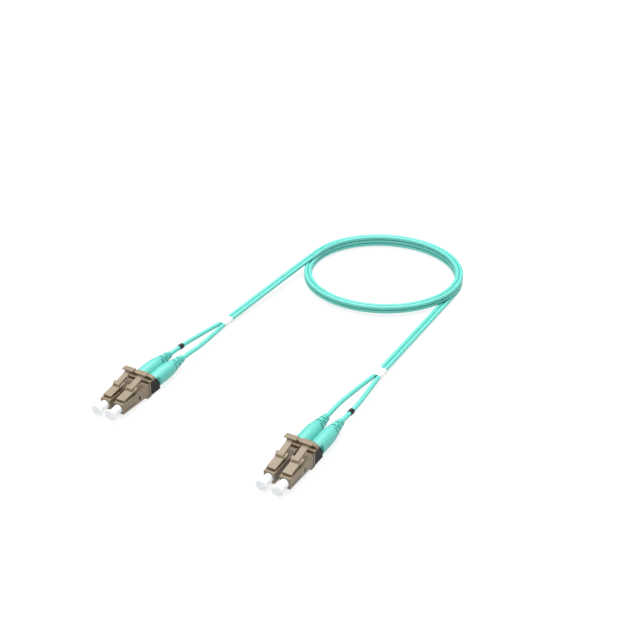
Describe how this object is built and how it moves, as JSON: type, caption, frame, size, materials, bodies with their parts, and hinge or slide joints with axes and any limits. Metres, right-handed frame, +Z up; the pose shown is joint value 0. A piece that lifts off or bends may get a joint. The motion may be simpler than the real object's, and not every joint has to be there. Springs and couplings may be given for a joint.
{
  "type": "fiber optic patch cord",
  "caption": "Duplex fibre optic patch cord: paired latching plugs with dust caps, clips, boots and split legs at both ends of a flat cord wound in a loop.",
  "frame": {"origin": "midway between the two duplex plug ends and at the middle of their depth, on the surface the cord lies on; the box is that of the plugs, clips, boots, caps, sleeves and bands, without the cord's own solids", "axes": "+Z up from the surface; both plug ends point along -Y; the loop lies towards +Y; end a is at -X and end b at +X"},
  "size_m": [0.0894, 0.1985, 0.0111],
  "materials": {
    "tan_plastic": "moulded, satin",
    "black_plastic": "fine moulded",
    "aqua_boot": "soft moulded, satin",
    "aqua_jacket": "extruded, satin",
    "cap_white": "soft moulded, translucent white",
    "sleeve_white": "smooth",
    "marker_black": "smooth",
    "zirconia": "polished ceramic",
    "nickel_brass": "nickel plated",
    "spring_steel": "drawn wire",
    "buffer_white": "smooth",
    "crimp_metal": "nickel plated brass"
  },
  "bodies": {
    "root": {"plug_housing_a1": "tan_plastic", "rear_body_a1": "tan_plastic", "ferrule_spring_a1": "spring_steel", "fiber_buffer_a1": "buffer_white", "crimp_ring_a1": "crimp_metal", "boot_a1": "aqua_boot", "cord_leg_a1": "aqua_jacket", "plug_housing_a2": "tan_plastic", "rear_body_a2": "tan_plastic", "ferrule_spring_a2": "spring_steel", "fiber_buffer_a2": "buffer_white", "crimp_ring_a2": "crimp_metal", "boot_a2": "aqua_boot", "cord_leg_a2": "aqua_jacket", "duplex_clip_a": "black_plastic", "split_sleeve_a": "sleeve_white", "marker_band_a": "marker_black", "cord_strand_a": "aqua_jacket", "plug_housing_b1": "tan_plastic", "rear_body_b1": "tan_plastic", "ferrule_spring_b1": "spring_steel", "fiber_buffer_b1": "buffer_white", "crimp_ring_b1": "crimp_metal", "boot_b1": "aqua_boot", "cord_leg_b1": "aqua_jacket", "plug_housing_b2": "tan_plastic", "rear_body_b2": "tan_plastic", "ferrule_spring_b2": "spring_steel", "fiber_buffer_b2": "buffer_white", "crimp_ring_b2": "crimp_metal", "boot_b2": "aqua_boot", "cord_leg_b2": "aqua_jacket", "duplex_clip_b": "black_plastic", "split_sleeve_b": "sleeve_white", "marker_band_b": "marker_black", "cord_strand_b": "aqua_jacket", "cord_coil": "aqua_jacket"},
    "latch_a1": {"latch_a1": "tan_plastic"},
    "ferrule_a1": {"ferrule_a1": "zirconia", "ferrule_holder_a1": "nickel_brass"},
    "cap_a1": {"dust_cap_a1": "cap_white"},
    "latch_a2": {"latch_a2": "tan_plastic"},
    "ferrule_a2": {"ferrule_a2": "zirconia", "ferrule_holder_a2": "nickel_brass"},
    "cap_a2": {"dust_cap_a2": "cap_white"},
    "latch_b1": {"latch_b1": "tan_plastic"},
    "ferrule_b1": {"ferrule_b1": "zirconia", "ferrule_holder_b1": "nickel_brass"},
    "cap_b1": {"dust_cap_b1": "cap_white"},
    "latch_b2": {"latch_b2": "tan_plastic"},
    "ferrule_b2": {"ferrule_b2": "zirconia", "ferrule_holder_b2": "nickel_brass"},
    "cap_b2": {"dust_cap_b2": "cap_white"}
  },
  "joints": [
    {"name": "latch_a1_flex", "type": "hinge", "parent": "root", "child": "latch_a1", "pos_m": [-0.04163, -0.03137, 0.00633], "axis": [-1, 0, 0], "range_deg": [0, 6.5], "stiffness_Nm_per_rad": 0.02},
    {"name": "ferrule_a1_float", "type": "slide", "parent": "root", "child": "ferrule_a1", "axis": [0, 1, 0], "range_m": [0, 0.001], "stiffness_N_per_m": 500, "springref_m": -0.004, "deforming": ["ferrule_spring_a1"]},
    {"name": "cap_a1_pull", "type": "slide", "parent": "root", "child": "cap_a1", "axis": [0, -1, 0], "range_m": [0, 0.012]},
    {"name": "latch_a2_flex", "type": "hinge", "parent": "root", "child": "latch_a2", "pos_m": [-0.03537, -0.03137, 0.00633], "axis": [-1, 0, 0], "range_deg": [0, 6.5], "stiffness_Nm_per_rad": 0.02},
    {"name": "ferrule_a2_float", "type": "slide", "parent": "root", "child": "ferrule_a2", "axis": [0, 1, 0], "range_m": [0, 0.001], "stiffness_N_per_m": 500, "springref_m": -0.004, "deforming": ["ferrule_spring_a2"]},
    {"name": "cap_a2_pull", "type": "slide", "parent": "root", "child": "cap_a2", "axis": [0, -1, 0], "range_m": [0, 0.012]},
    {"name": "latch_b1_flex", "type": "hinge", "parent": "root", "child": "latch_b1", "pos_m": [0.03537, -0.03867, 0.00633], "axis": [-1, 0, 0], "range_deg": [0, 6.5], "stiffness_Nm_per_rad": 0.02},
    {"name": "ferrule_b1_float", "type": "slide", "parent": "root", "child": "ferrule_b1", "axis": [0, 1, 0], "range_m": [0, 0.001], "stiffness_N_per_m": 500, "springref_m": -0.004, "deforming": ["ferrule_spring_b1"]},
    {"name": "cap_b1_pull", "type": "slide", "parent": "root", "child": "cap_b1", "axis": [0, -1, 0], "range_m": [0, 0.012]},
    {"name": "latch_b2_flex", "type": "hinge", "parent": "root", "child": "latch_b2", "pos_m": [0.04163, -0.03867, 0.00633], "axis": [-1, 0, 0], "range_deg": [0, 6.5], "stiffness_Nm_per_rad": 0.02},
    {"name": "ferrule_b2_float", "type": "slide", "parent": "root", "child": "ferrule_b2", "axis": [0, 1, 0], "range_m": [0, 0.001], "stiffness_N_per_m": 500, "springref_m": -0.004, "deforming": ["ferrule_spring_b2"]},
    {"name": "cap_b2_pull", "type": "slide", "parent": "root", "child": "cap_b2", "axis": [0, -1, 0], "range_m": [0, 0.012]}
  ]
}
